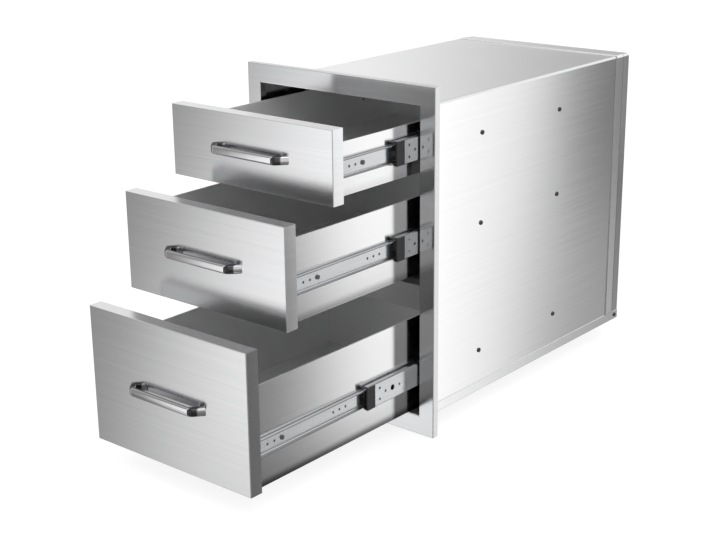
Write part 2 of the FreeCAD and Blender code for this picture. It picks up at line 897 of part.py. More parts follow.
def make_cage(label, side, drawer, start, across, ball):
    """Two ball strips joined by a bridge at each end, with the balls they carry."""
    body = new_body(f"{label}_strips")
    gauge = size("cage_strip")
    web, edge, ball_across = across
    ball_height, ball_radius = ball
    inside = web + gauge
    high = ball_height + gauge / 2
    low = ball_height - gauge / 2
    corners = [
        (web, -high),
        (edge, -high),
        (edge, -low),
        (inside, -low),
        (inside, low),
        (edge, low),
        (edge, high),
        (web, high),
    ]
    profile = [slide_point(side, depth, height, drawer) for depth, height in corners]
    length = size("cage_length")
    bridge = size("cage_bridge")
    add_pad(body, "Y", start, length, [profile])
    window = rectangle(
        slide_point(side, web - gauge, 0, drawer)[0],
        slide_point(side, inside + gauge / 2, 0, drawer)[0],
        slide_middle(drawer) - low,
        slide_middle(drawer) + low,
    )
    add_pocket(body, "Y", start + bridge, length - 2 * bridge, [window])
    pieces = [body]
    ball_count = 3
    pitch = (length - 2 * size("ball_end")) / (ball_count - 1)
    for number in range(ball_count):
        for height in (-ball_height, ball_height):
            near = ball_across - size("roller_length") / 2
            x, z = slide_point(side, near, height, drawer)
            y = start + size("ball_end") + number * pitch
            direction = "-X" if side > 0 else "+X"
            label_here = f"{label}_roller"
            spot = (x, y, z)
            length_here = size("roller_length")
            pieces.append(
                make_prism(label_here, ball_radius, length_here, spot, direction, 6)
            )
    cage = doc.addObject("Part::MultiFuse", label)
    cage.Shapes = pieces
    return cage


def make_outer_cages(drawer):
    """The cages whose balls run between the cabinet and middle members."""
    travel = size(f"{drawer}_runner_travel")
    start = slide_start + size("cage_start") - travel / 2
    web = size("slide_sheet")
    across = (web, web + size("outer_cage_depth"), size("outer_ball_depth"))
    ball = between_races("outer", "middle")
    cages = [
        make_cage(f"{drawer}_outer_cage_{side_name}", side, drawer, start, across, ball)
        for side_name, side in SIDES.items()
    ]
    return make_group(f"{drawer}_outer_cages", cages)


def make_inner_cages(drawer):
    """The cages whose balls run between the middle and drawer members."""
    travel = size(f"{drawer}_runner_travel")
    pulled = size(f"{drawer}_extension")
    start = slide_start + size("cage_start") - (pulled + travel) / 2
    web = size("middle_offset") + size("slide_sheet")
    across = (web, web + size("inner_cage_depth"), size("inner_ball_depth"))
    ball = between_races("middle", "inner")
    cages = [
        make_cage(f"{drawer}_inner_cage_{side_name}", side, drawer, start, across, ball)
        for side_name, side in SIDES.items()
    ]
    return make_group(f"{drawer}_inner_cages", cages)


def make_end_stop(drawer, side_name):
    """The plastic stop on the front end of a middle member."""
    body = new_body(f"{drawer}_end_stop_{side_name}")
    side = SIDES[side_name]
    outer = size("slide_sheet") + size("stop_play")
    web = size("middle_offset")
    half = size("stop_height") / 2
    middle = slide_middle(drawer)
    lead = size("stop_lead")
    member_front = slide_start - size(f"{drawer}_runner_travel")
    start = member_front - lead
    near = side * (slide_face - outer)
    on_web = side * (slide_face - web)
    past_web = side * (slide_face - web - size("slide_sheet"))
    plate = rectangle(near, on_web, middle - half, middle + half)
    add_pad(body, "Y", start, size("stop_length"), [plate])
    nose = rectangle(near, past_web, middle - half, middle + half)
    add_pad(body, "Y", start, lead, [nose])
    return body


def make_end_stops(drawer):
    """Both end stops of a drawer's slides."""
    stops = [make_end_stop(drawer, side_name) for side_name in SIDES]
    return make_group(f"{drawer}_end_stops", stops)


# A drawer: front pan and liner, box, handle, and its screws


def handle_middle(drawer):
    """The height of the handle, at the middle of the drawer's front."""
    return (front_low(drawer) + front_high(drawer)) / 2


def handle_holes(drawer, y):
    """Where both handle screws' holes start, at a place along Y."""
    reach = size("handle_pitch") / 2
    return [(side * reach, y, handle_middle(drawer)) for side in SIDES.values()]


def make_front_panel(drawer):
    """The drawer's front: a pan with returns and rear lips."""
    body = new_body(f"{drawer}_front_panel")
    half = opening_half - size("front_clearance")
    low = front_low(drawer)
    high = front_high(drawer)
    gauge = size("front_sheet")
    lip = size("front_lip")
    face = panel_face(drawer)
    depth = size("front_depth")
    outline = rectangle(-half, half, low, high)
    inside = rectangle(-half + gauge, half - gauge, low + gauge, high - gauge)
    lip_edge = rectangle(-half + lip, half - lip, low + lip, high - lip)
    add_pad(body, "Y", face, gauge, [outline])
    add_pad(body, "Y", face + gauge, depth - gauge, [outline, inside])
    add_pad(body, "Y", face + depth - gauge, gauge, [outline, lip_edge])
    radius = size("front_edge_radius")
    round_edges(body, radius, front_rim(face, half, low, high))
    spots = handle_holes(drawer, face + 2 * gauge)
    return drill(body, spots, "-Y", 3 * gauge, hole_radius)


def make_front_liner(drawer):
    """The plate that closes the back of the drawer's front."""
    body = new_body(f"{drawer}_front_liner")
    inset = size("liner_inset")
    half = opening_half - size("front_clearance") - inset
    outline = rectangle(-half, half, front_low(drawer) + inset, front_high(drawer) - inset)
    start = panel_face(drawer) + size("front_depth")
    add_pad(body, "Y", start, size("liner_sheet"), [outline])
    return body


def make_box_front(drawer):
    """The front wall of the drawer box, against the liner."""
    body = new_body(f"{drawer}_box_front")
    gauge = size("box_sheet")
    high = box_high(drawer)
    start = panel_face(drawer) + front_thickness
    wall = rectangle(-box_half, box_half, box_low(drawer), high)
    add_pad(body, "Y", start, gauge, [wall])
    hem_half = box_half - 2 * gauge
    hem = rectangle(-hem_half, hem_half, high - size("hem_height"), high)
    add_pad(body, "Y", start + gauge, gauge, [hem])
    return body


def box_walls(half, front, rear, thickness):
    """Corners of both side walls and the back wall, seen from above."""
    return [
        (-half, front),
        (-half, rear),
        (half, rear),
        (half, front),
        (half - thickness, front),
        (half - thickness, rear - thickness),
        (-half + thickness, rear - thickness),
        (-half + thickness, front),
    ]


def make_box_shell(drawer):
    """The drawer box: floor, sides and back folded from one sheet, rim hemmed."""
    body = new_body(f"{drawer}_box_shell")
    gauge = size("box_sheet")
    low = box_low(drawer)
    high = box_high(drawer)
    front = panel_face(drawer) + front_thickness + gauge
    rear = front + size("box_length")
    hem = size("hem_height")
    floor = rectangle(-box_half, box_half, front, rear)
    add_pad(body, "Z", low, gauge, [floor])
    walls = box_walls(box_half, front, rear, gauge)
    add_pad(body, "Z", low + gauge, high - low - gauge, [walls])
    rim = box_walls(box_half, front + gauge, rear, 2 * gauge)
    add_pad(body, "Z", high - hem, hem, [rim])
    side_start = -box_half - gauge
    spots = [(side_start, y, z) for y, z in member_screw_places(drawer)]
    return drill(body, spots, "+X", -2 * side_start, hole_radius)


def make_member_screws(drawer):
    """The screws that hold the drawer members to the box."""
    screws = []
    gauge = size("slide_sheet")
    shank = gauge + size("box_sheet") + size("slide_screw_tip")
    for side_name, side in SIDES.items():
        for number, (y, z) in enumerate(member_screw_places(drawer), start=1):
            screws.append(
                make_screw(
                    f"{drawer}_member_screw_{side_name}_{number}",
                    (side * (box_half + gauge), y, z),
                    "-X" if side > 0 else "+X",
                    shank,
                    size("slide_head_radius"),
                    size("slide_head_height"),
                )
            )
    return make_group(f"{drawer}_member_screws", screws)


def make_handle(drawer):
    """A cast pull: a bar whose legs lean out to a foot at each end."""
    body = new_body(f"{drawer}_handle")
    face = panel_face(drawer)
    half = size("handle_length") / 2
    shoulder = size("handle_flat") / 2
    standoff = size("handle_standoff")
    clear = size("handle_clear")
    foot_inside = half - size("handle_foot")
    # the inside of a leg runs parallel to its outside
    shoulder_inside = foot_inside - clear * (half - shoulder) / standoff
    height = size("handle_height")
    low = handle_middle(drawer) - height / 2
    outline = [
        (-half, face),
        (-shoulder, face - standoff),
        (shoulder, face - standoff),
        (half, face),
        (foot_inside, face),
        (shoulder_inside, face - clear),
        (-shoulder_inside, face - clear),
        (-foot_inside, face),
    ]
    add_pad(body, "Z", low, height, [outline])

    def on_shoulder(edge):
        at_sides = lies_at(edge, "x", shoulder) or lies_at(edge, "x", -shoulder)
        return at_sides and lies_at(edge, "y", face - standoff)

    round_edges(body, size("handle_shoulder"), on_shoulder)
    behind = size("front_sheet")
    depth = size("handle_screw_depth") + size("screw_play")
    spots = handle_holes(drawer, face + behind)
    return drill(body, spots, "-Y", behind + depth, hole_radius)


def make_handle_screws(drawer):
    """The two screws from inside the front into the handle's feet."""
    gauge = size("front_sheet")
    screws = [
        make_screw(
            f"{drawer}_handle_screw_{side_name}",
            (
                side * size("handle_pitch") / 2,
                panel_face(drawer) + gauge,
                handle_middle(drawer),
            ),
            "-Y",
            gauge + size("handle_screw_depth"),
            size("handle_head_radius"),
            size("handle_head_height"),
        )
        for side_name, side in SIDES.items()
    ]
    return make_group(f"{drawer}_handle_screws", screws)


def make_drawer(drawer):
    """Every sub-part of one drawer and of its two slides."""
    pieces = [
        make_front_panel(drawer),
        make_front_liner(drawer),
        make_box_front(drawer),
        make_box_shell(drawer),
        make_handle(drawer),
        make_handle_screws(drawer),
        make_member_screws(drawer),
        make_outer_cages(drawer),
        make_inner_cages(drawer),
        make_end_stops(drawer),
    ]
    for side_name in SIDES:
        pieces.append(make_cabinet_member(drawer, side_name))
        pieces.append(make_middle_member(drawer, side_name))
        pieces.append(make_drawer_member(drawer, side_name))
    return pieces


def check_document():
    """Stop if any object of the document failed to compute."""
    for item in doc.Objects:
        if "Invalid" in item.State or "Error" in item.State:
            raise RuntimeError(f"{item.Label} failed: {item.State}")


def write_parts(pieces):
    """Write each sub-part's shape to its own file."""
    os.makedirs("parts", exist_ok=True)
    for piece in pieces:
        shape = piece.Shape
        if shape.isNull() or not shape.isValid():
            raise RuntimeError(f"{piece.Label} has no valid shape")
        shape.exportStep(f"parts/{piece.Label}.step")
        print(f"{piece.Label}: {len(shape.Solids)} solids, {shape.Volume:.1f} mm3")


subparts = [
    make_face_frame(),
    make_cabinet_wrap(),
    make_bottom_tray(),
    make_back_cover(),
    make_cross_rail(),
    make_wall_screws(),
    make_cover_screws(),
]
for place_name in upright_places:
    for side_name in SIDES:
        subparts.append(make_upright(place_name, side_name))
for drawer_name in DRAWERS:
    subparts.extend(make_drawer(drawer_name))
doc.recompute()
check_document()
write_parts(subparts)
print(f"{len(subparts)} sub-parts")
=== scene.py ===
"""Looks of a built-in outdoor kitchen drawer unit in brushed stainless sheet."""

import math

import bmesh
import bpy
from mathutils import Matrix, Vector


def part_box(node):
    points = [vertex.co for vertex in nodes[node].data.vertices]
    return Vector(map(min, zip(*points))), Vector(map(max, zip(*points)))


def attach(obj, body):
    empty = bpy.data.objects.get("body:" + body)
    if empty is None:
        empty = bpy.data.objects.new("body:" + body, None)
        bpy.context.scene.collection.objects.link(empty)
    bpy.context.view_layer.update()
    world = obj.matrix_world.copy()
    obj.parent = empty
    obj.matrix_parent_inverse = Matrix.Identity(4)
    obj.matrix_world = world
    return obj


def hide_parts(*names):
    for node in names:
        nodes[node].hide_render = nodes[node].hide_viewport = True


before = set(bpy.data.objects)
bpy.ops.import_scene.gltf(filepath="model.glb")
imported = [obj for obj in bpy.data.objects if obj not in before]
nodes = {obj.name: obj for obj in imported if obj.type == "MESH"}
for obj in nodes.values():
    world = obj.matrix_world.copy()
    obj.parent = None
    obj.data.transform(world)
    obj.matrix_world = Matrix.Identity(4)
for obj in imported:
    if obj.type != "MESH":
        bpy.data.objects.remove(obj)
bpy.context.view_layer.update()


# Face frame: the flange that covers the edge of the cut-out in the island. It is folded
# from stainless sheet, its seams are ground flush, and its face is brushed along X.
class Shade:
    """A shader socket that can stand in a sum."""

    def __init__(self, finish, socket):
        self.finish = finish
        self.socket = socket

    def _maths(self, operation, first, second):
        return self.finish.node(
            "ShaderNodeMath", {"operation": operation}, {0: first, 1: second}
        )

    def __add__(self, other):
        return self._maths("ADD", self, other)

    def __radd__(self, other):
        return self._maths("ADD", other, self)

    def __sub__(self, other):
        return self._maths("SUBTRACT", self, other)

    def __rsub__(self, other):
        return self._maths("SUBTRACT", other, self)

    def __mul__(self, other):
        return self._maths("MULTIPLY", self, other)

    def __rmul__(self, other):
        return self._maths("MULTIPLY", other, self)


class Finish:
    """The node tree of one finish, built by expressions."""

    def __init__(self, tree):
        self.tree = tree
        tree.nodes.clear()

    def join(self, value, socket):
        """Feed a socket from another one, or set it to a plain value."""
        if isinstance(value, Shade):
            self.tree.links.new(value.socket, socket)
        else:
            socket.default_value = value

    def node(self, kind, settings=None, sockets=None, output=0):
        """Add a node with its settings first, then its sockets."""
        made = self.tree.nodes.new(kind)
        for field, value in (settings or {}).items():
            if field == "stops":
                ramp = made.color_ramp
                while len(ramp.elements) < len(value):
                    ramp.elements.new(0.5)
                for stop, (place, tone) in zip(ramp.elements, value):
                    stop.position = place
                    stop.color = (tone, tone, tone, 1)
            else:
                setattr(made, field, value)
        for name, value in (sockets or {}).items():
            self.join(value, made.inputs[name])
        return Shade(self, made.outputs[output])

    def size(self, value):
        """A value without its sign."""
        return self.node("ShaderNodeMath", {"operation": "ABSOLUTE"}, {0: value})

    def is_under(self, value, limit):
        """1 where a value is less than a limit, and 0 elsewhere."""
        return self.node(
            "ShaderNodeMath", {"operation": "LESS_THAN"}, {0: value, 1: limit}
        )

    def axes_of(self, vector):
        """The three axes of a vector."""
        split = self.node("ShaderNodeSeparateXYZ", None, {0: vector}).socket.node
        return [Shade(self, axis) for axis in split.outputs]

    def place(self, axis):
        """The piece's own place along one row axis, in metres."""
        spot = self.node("ShaderNodeTexCoord", output="Object")
        return self.axes_of(spot)["XYZ".index(axis)]

    def noise(self, scale, detail=2.0):
        """Noise on the piece's own place, with a scale for each row axis per metre."""
        spot = self.node("ShaderNodeTexCoord", output="Object")
        stretched = self.node(
            "ShaderNodeMapping", None, {"Vector": spot, "Scale": scale}
        )
        return self.node(
            "ShaderNodeTexNoise",
            None,
            {"Vector": stretched, "Scale": 1.0, "Detail": detail},
        )

    def rise(self, value, start, end):
        """A smooth step from 0 at one value to 1 at another."""
        return self.node(
            "ShaderNodeMapRange",
            {"interpolation_type": "SMOOTHSTEP"},
            {"Value": value, "From Min": start, "From Max": end},
        )

    def blend(self, first, second, factor):
        """One colour to another by a factor."""
        # a Mix node numbers its colour sockets after those for values and vectors
        first_colour, second_colour, mixed_colour = 6, 7, 2
        return self.node(
            "ShaderNodeMix",
            {"data_type": "RGBA"},
            {0: factor, first_colour: first, second_colour: second},
            output=mixed_colour,
        )

    def surface(self, colour, roughness, metallic=1.0, others=None):
        """A surface shader from its colour, roughness and any other sockets."""
        sockets = {"Base Color": colour, "Roughness": roughness, "Metallic": metallic}
        return self.node("ShaderNodeBsdfPrincipled", None, sockets | (others or {}))

    def show(self, shader, target="Material"):
        """End the tree with the shader that it shows."""
        end = self.tree.nodes.new(f"ShaderNodeOutput{target}")
        self.join(shader, end.inputs["Surface"])


def new_finish(name):
    """A material with an empty node tree, ready for expressions."""
    material = bpy.data.materials.new(name)
    material.use_nodes = True
    return material, Finish(material.node_tree)


def brushed_sheet(name, dark, light, roughness, grain, shade_and_tone=None, unpolished=None):
    """Stainless sheet with a brushed grain: fine and broad streaks along the sheet.

    The grain is a scale for each row axis. Painted shade on the sheet, with any plain
    darker tone, and what leaves a side of it unpolished, are functions giving a factor
    on the finish.
    """
    material, finish = new_finish(name)
    fine = finish.noise(grain)
    broad = finish.noise([scale / 9 for scale in grain], detail=4.0)
    cloud = finish.noise((5.0, 5.0, 5.0))
    colour = finish.blend(dark, light, fine * 0.45 + broad * 0.35 + cloud * 0.2)
    if shade_and_tone is not None:
        # painted shade, and on the boxes' outsides a plain darker tone, blend towards
        # this colour
        shade_colour = (0.12, 0.12, 0.125, 1)
        colour = finish.blend(colour, shade_colour, shade_and_tone(finish))
    rough = roughness + (fine - 0.5) * 0.06
    mirror = 1.0
    if unpolished is not None:
        raw = unpolished(finish)
        rough = rough + raw * 0.30
        mirror = 1.0 - raw * 0.35
    scratches = finish.node(
        "ShaderNodeBump",
        None,
        {"Strength": 0.02, "Distance": 0.0003, "Height": fine * 0.7 + broad * 0.3},
    )
    along_grain = {"Anisotropic": 0.85, "Anisotropic Rotation": 0.25}
    brushed = finish.surface(
        colour, rough, mirror, {"Normal": scratches} | along_grain
    )
    # a brushed glint turns round the middle of a level face, so those are plain satin
    satin = finish.surface(colour, rough + 0.12, mirror, {"Normal": scratches})
    facing = finish.node("ShaderNodeTexCoord", output="Normal")
    facing_up = finish.size(finish.axes_of(facing)[2])
    level = finish.rise(facing_up, 0.6, 0.8)
    finish.show(
        finish.node("ShaderNodeMixShader", None, {0: level, 1: brushed, 2: satin})
    )
    return material


def dress(node, material):
    """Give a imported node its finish."""
    for place in nodes[node].material_slots:
        place.material = material


FINE_GRAIN = (6, 6, 1500)
frame_steel = brushed_sheet(
    "frame_steel", (0.52, 0.525, 0.535, 1), (0.70, 0.70, 0.705, 1), 0.15, FINE_GRAIN
)
dress("face_frame", frame_steel)


# Cabinet: side walls and top folded from one sheet, a floor tray with turned-up rims
# and a joggled back cover. All are thin stainless sheet in a satin mill brush along Y.
COVER_BOX = 0.020
cover_low, cover_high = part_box("back_cover")
shadow_end = cover_low[1] - 0.001
joggle = cover_high[1] - COVER_BOX


def shadow_at_lap(finish):
    """A dark line on the side walls just in front of the cover's edge."""
    return finish.rise(finish.place("Y"), shadow_end - 0.004, shadow_end) * 0.5


def shaded_behind_lap(finish):
    """Painted shade on the lower part of the cover's box, and a painted shadow line in
    the joggle.
    """
    along = finish.place("Y")
    behind = finish.rise(along, joggle - 0.0010, joggle)
    low_down = finish.rise(finish.place("Z"), 0.42, 0.25)
    joggle_shadow_start = finish.rise(along, joggle - 0.0015, joggle)
    joggle_shadow_end = finish.rise(along, joggle + 0.0025, joggle + 0.0010)
    # painted shade low on the cover's box, and a painted shadow line at the joggle's
    # step
    return behind * low_down * 0.42 + joggle_shadow_start * joggle_shadow_end * 0.35


MILL_GRAIN = (6, 6, 1300)
MILL_DARK = (0.74, 0.745, 0.75, 1)
MILL_LIGHT = (0.90, 0.90, 0.90, 1)
cabinet_steel = brushed_sheet(
    "cabinet_steel", MILL_DARK, MILL_LIGHT, 0.14, MILL_GRAIN, shade_and_tone=shadow_at_lap
)
dress("cabinet_wrap", cabinet_steel)
tray_steel = brushed_sheet("tray_steel", MILL_DARK, MILL_LIGHT, 0.18, MILL_GRAIN)
dress("bottom_tray", tray_steel)
# the cover's sheet is lighter than the walls' sheet, a painted highlight on its lap
cover_steel = brushed_sheet(
    "cover_steel",
    (0.84, 0.845, 0.85, 1),
    (0.97, 0.97, 0.97, 1),
    0.16,
    MILL_GRAIN,
    shade_and_tone=shaded_behind_lap,
)
dress("back_cover", cover_steel)

# Uprights and cross rail: plain folded channels spot welded inside the cabinet. They
# are the same sheet left unpolished, so they look greyer than the outside.
SIDES = {"left": -1, "right": 1}
ROWS = ("front", "rear")
inner_steel = brushed_sheet(
    "inner_steel", (0.42, 0.425, 0.43, 1), (0.56, 0.56, 0.565, 1), 0.34, (90, 90, 900)
)
dress("cross_rail", inner_steel)
for row in ROWS:
    for side in SIDES:
        dress(f"{row}_upright_{side}", inner_steel)


# Screws in the cabinet: button heads with a driven recess, in stainless steel. They
# pass through the wall and the upright into the slide, and the tray into the cover.
def new_piece(name, mesh, material, body):
    """A finished mesh as a piece of the object that moves with a body."""
    mesh.materials.append(material)
    piece = bpy.data.objects.new(name, mesh)
    bpy.context.scene.collection.objects.link(piece)
    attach(piece, body)
    return piece


def finish_mesh(name, bm, smooth_below=35):
    """A mesh from a bmesh, rounded over its gentle edges and sharp over the others."""
    bmesh.ops.remove_doubles(bm, verts=bm.verts, dist=1e-6)
    bmesh.ops.recalc_face_normals(bm, faces=bm.faces)
    for face in bm.faces:
        face.smooth = True
    mesh = bpy.data.meshes.new(name)
    bm.to_mesh(mesh)
    bm.free()
    mesh.set_sharp_from_angle(angle=math.radians(smooth_below))
    return mesh


def rounded(bm, edges, radius, segments):
    """Round some edges."""
    bmesh.ops.bevel(
        bm,
        geom=edges,
        offset=radius,
        segments=segments,
        profile=0.5,
        affect="EDGES",
        material=-1,
    )


def add_bar(bm, middle, turn, radius, length, segments):
    """A round bar about its middle."""
    return bmesh.ops.create_cone(
        bm,
        cap_ends=True,
        segments=segments,
        radius1=radius,
        radius2=radius,
        depth=length,
        matrix=Matrix.Translation(middle) @ turn,
    )


HEAD_RADIUS, HEAD_HEIGHT, HEAD_SIDES = 0.0036, 0.0018, 20
RECESS_RIM, RECESS_DEPTH = HEAD_RADIUS * 0.36, HEAD_HEIGHT * 0.6
HEAD_ROUNDING = HEAD_HEIGHT * 0.6
SHANK_RADIUS, SHANK_SIDES = 0.002, 12


def add_screw(bm, seat, direction, shank):
    """One screw: a domed head on its seat, and its shank along the direction."""
    seat, along = Vector(seat), Vector(direction)
    turn = Vector((0, 0, 1)).rotation_difference(along).to_matrix().to_4x4()
    top = seat - along * HEAD_HEIGHT
    head = add_bar(bm, (seat + top) / 2, turn, HEAD_RADIUS, HEAD_HEIGHT, HEAD_SIDES)

    def is_on_top(vert):
        return abs((vert.co - top).dot(along)) < 1e-5

    head_edges = {edge for vert in head["verts"] for edge in vert.link_edges}
    rim = [edge for edge in head_edges if all(map(is_on_top, edge.verts))]
    rounded(bm, rim, HEAD_ROUNDING, 3)
    cap = [
        face
        for face in bm.faces
        if len(face.verts) == HEAD_SIDES
        and all(map(is_on_top, face.verts))
        and (face.calc_center_median() - top).length < 1e-4
    ]
    bmesh.ops.inset_region(bm, faces=cap, thickness=RECESS_RIM)
    for vert in cap[0].verts:
        vert.co += along * RECESS_DEPTH
    add_bar(bm, seat + along * shank / 2, turn, SHANK_RADIUS, shank, SHANK_SIDES)


def plain_metal(name, colour, roughness):
    """A small metal part with a faint mottle from its plating or tumbling."""
    material, finish = new_finish(name)
    spots = finish.noise((400, 400, 400), detail=3.0)
    darker = [tone * 0.92 for tone in colour] + [1]
    lighter = [tone * 1.08 for tone in colour] + [1]
    mottled = finish.blend(darker, lighter, spots)
    finish.show(finish.surface(mottled, roughness + (spots - 0.5) * 0.2))
    return material


def middle_of(node):
    """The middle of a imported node's box."""
    low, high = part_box(node)
    return [(start + end) / 2 for start, end in zip(low, high)]


def slide_height(drawer):
    """The height of a drawer's slides."""
    return middle_of(f"{drawer}_cabinet_member_left")[2]


def screw_piece(node, seats, shank):
    """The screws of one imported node, each seated on a side of the cabinet."""
    bm = bmesh.new()
    for seat in seats:
        add_screw(bm, seat, (-math.copysign(1, seat[0]), 0, 0), shank)
    name = node.replace("screws", "screw_heads")
    screws = new_piece(
        name, finish_mesh(name, bm), wall_screw_steel, "cabinet"
    )
    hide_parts(node)


DRAWERS = ("bottom", "middle", "top")
wall_screw_steel = plain_metal("wall_screw_steel", (0.09, 0.09, 0.095), 0.45)
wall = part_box("cabinet_wrap")[1][0]
wall_seats = [
    (side * wall, middle_of(f"{row}_upright_left")[1], slide_height(drawer))
    for side in SIDES.values()
    for row in ROWS
    for drawer in DRAWERS
]
screw_piece("wall_screws", wall_seats, shank=0.0097)
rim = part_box("bottom_tray")[1][0]
_, behind, height = middle_of("cover_screws")
cover_seats = [(side * rim, behind, height) for side in SIDES.values()]
screw_piece("cover_screws", cover_seats, shank=0.003)


# Slides: three nested members rolled from steel strip and bright zinc plated, one pair
# to a drawer. The outer one is screwed to the uprights and the inner one to the box.
def zinc_plate(name, middle, half, race):
    """Zinc plate with drawn lines, and painted shade in the races at both edges."""
    material, finish = new_finish(name)
    drawn = finish.noise((300, 12, 300), detail=3.0)
    bloom = finish.noise((30, 12, 30))
    plate = finish.blend(
        (0.70, 0.71, 0.73, 1), (0.92, 0.93, 0.94, 1), drawn * 0.5 + bloom * 0.5
    )
    off_middle = finish.size(finish.place("Z") - middle)
    # painted shade in the races, less strong on the outer faces of the flanges
    in_race = finish.rise(off_middle, half - race - 0.0006, half - race + 0.0004)
    on_edge = finish.rise(off_middle, half - 0.0001, half - 0.0003)
    race_shade = in_race * (0.45 + 0.55 * on_edge) * (0.60 + bloom * 0.4)
    race_shaded = finish.blend(plate, (0.07, 0.07, 0.075, 1), race_shade)
    finish.show(finish.surface(race_shaded, 0.26 + (bloom - 0.5) * 0.16))
    return material


# widths of the painted shade in the races of each member
RACES = {"cabinet": 0.0012, "middle": 0.0014, "drawer": 0.0014}
for drawer in DRAWERS:
    for member, race in RACES.items():
        low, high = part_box(f"{drawer}_{member}_member_left")
        plate = zinc_plate(
            f"{drawer}_{member}_plate",
            slide_height(drawer),
            (high[2] - low[2]) / 2,
            race,
        )
        for side in SIDES:
            dress(f"{drawer}_{member}_member_{side}", plate)

# Ball cages: a strip with balls above and below, pressed from thin steel and left dark
# with grease. They roll at half the speed of the member that they carry.
cage_steel = plain_metal("cage_steel", (0.30, 0.30, 0.31), 0.35)
for drawer in DRAWERS:
    for stage in ("outer", "inner"):
        dress(f"{drawer}_{stage}_cages", cage_steel)

# End stops: black moulded blocks clipped on the front of each middle member. They guide
# its end and cushion the stop.
stop_plastic, finish = new_finish("stop_plastic")
mottle = finish.noise((900, 900, 900), detail=3.0)
black = finish.blend((0.010, 0.010, 0.011, 1), (0.028, 0.028, 0.030, 1), mottle)
finish.show(finish.surface(black, 0.42 + (mottle - 0.5) * 0.2, metallic=0.0))
for drawer in DRAWERS:
    dress(f"{drawer}_end_stops", stop_plastic)

# Drawer fronts: double-walled stainless pans, brushed like the face frame so that a row
# of them matches it, with a plain liner sheet closing the back.
front_steel = brushed_sheet(
    "front_steel", (0.57, 0.575, 0.585, 1), (0.79, 0.79, 0.795, 1), 0.14, FINE_GRAIN
)
for drawer in DRAWERS:
    dress(f"{drawer}_front_panel", front_steel)
    dress(f"{drawer}_front_liner", front_steel)


# Drawer boxes: thin stainless sheet folded to a tub with a hemmed rim, in a satin
# finish that is brushed along the drawer. Screws hold the slides and handles to them.
# how strongly shade is painted low down on the outside of each drawer's box
EDGE_SHADE = {"bottom": 0.80, "middle": 0.50, "top": 0.15}


def box_sheet(drawer):
    """The sheet of one drawer's box: dull inside, with painted shade low down outside.
    """
    low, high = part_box(f"{drawer}_box_shell")
    floor_height, wall = low[2], high[0]
    member_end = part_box(f"{drawer}_drawer_member_left")[1][1]

    def outer_side(finish):
        """The outer faces of the side walls."""
        across = finish.size(finish.place("X"))
        return finish.rise(across, wall - 0.0006, wall - 0.0002)

    def unpolished_inside(finish):
        """The inside keeps the mill's dull finish."""
        return 1.0 - outer_side(finish)

    def shaded_outside(finish):
        """Painted shade on the outside towards the bend at the floor and behind the
        slide's holes, over a plain darker tone.
        """
        height = finish.place("Z") - floor_height
        # painted shade towards the bend at the floor, and a painted shadow behind the
        # slide's holes
        at_bend = finish.rise(height, 0.015, 0.001) * 0.8
        low_down = at_bend + finish.rise(height, 0.075, 0.0) * 0.3
        off_slide = finish.size(finish.place("Z") - slide_height(drawer))
        covered = finish.rise(finish.place("Y"), member_end, member_end - 0.002)
        in_holes = covered * finish.rise(off_slide, 0.0045, 0.0040) * 0.95
        return outer_side(finish) * (low_down * EDGE_SHADE[drawer] + 0.16 + in_holes)

    return brushed_sheet(
        f"{drawer}_box_steel",
        (0.80, 0.805, 0.81, 1),
        (0.96, 0.96, 0.96, 1),
        0.18,
        (6, 6, 1200),
        shade_and_tone=shaded_outside,
        unpolished=unpolished_inside,
    )


screw_steel = plain_metal("screw_steel", (0.16, 0.16, 0.165), 0.4)
for drawer in DRAWERS:
    box_steel = box_sheet(drawer)
    dress(f"{drawer}_box_front", box_steel)
    dress(f"{drawer}_box_shell", box_steel)
    dress(f"{drawer}_handle_screws", screw_steel)
    dress(f"{drawer}_member_screws", screw_steel)

# Handles: pulls cast in zinc and chrome plated, with rounded edges, whose legs lean
# out to a foot at each end. Two screws from inside the front hold each one. The sizes
# are a foot's width, the bar's half length in front and the room behind the bar.
FOOT, SHOULDER, CLEAR = 0.0125, 0.0585, 0.0095
SHOULDER_BEND, INNER_BEND, RIM_RADIUS = 0.0055, 0.004, 0.003
chrome, finish = new_finish("chrome")
cast = finish.noise((60, 60, 60))
plated = finish.blend((0.58, 0.58, 0.59, 1), (0.68, 0.68, 0.69, 1), cast)
across = finish.size(finish.place("X"))
facing = finish.node("ShaderNodeTexCoord", output="Normal")
# painted dark reflections lie on the plating just behind the shoulders, and painted
# shade on the top faces
dark_reflection_start = finish.rise(across, SHOULDER - 0.003, SHOULDER - 0.001)
dark_reflection_end = finish.rise(across, SHOULDER + 0.008, SHOULDER + 0.006)
dark_reflection = dark_reflection_start * dark_reflection_end * 0.9
on_top = finish.rise(finish.axes_of(facing)[2], 0.35, 0.75) * 0.45
painted_plating = finish.blend(
    plated, (0.02, 0.02, 0.022, 1), dark_reflection + (1.0 - dark_reflection) * on_top
)
finish.show(finish.surface(painted_plating, 0.05 + cast * 0.05))


def side_of(bm, spot):
    """The face whose middle is nearest to a spot."""
    spot = Vector(spot)
    return min(bm.faces, key=lambda face: (face.calc_center_median() - spot).length)


def upright_edges(bm, places):
    """The edges along Z that stand at one of the places in plan."""
    return [
        edge
        for edge in bm.edges
        if abs(edge.verts[0].co.z - edge.verts[1].co.z) > 0.004
        and any((edge.verts[0].co.xy - Vector(place)).length < 1e-5 for place in places)
    ]


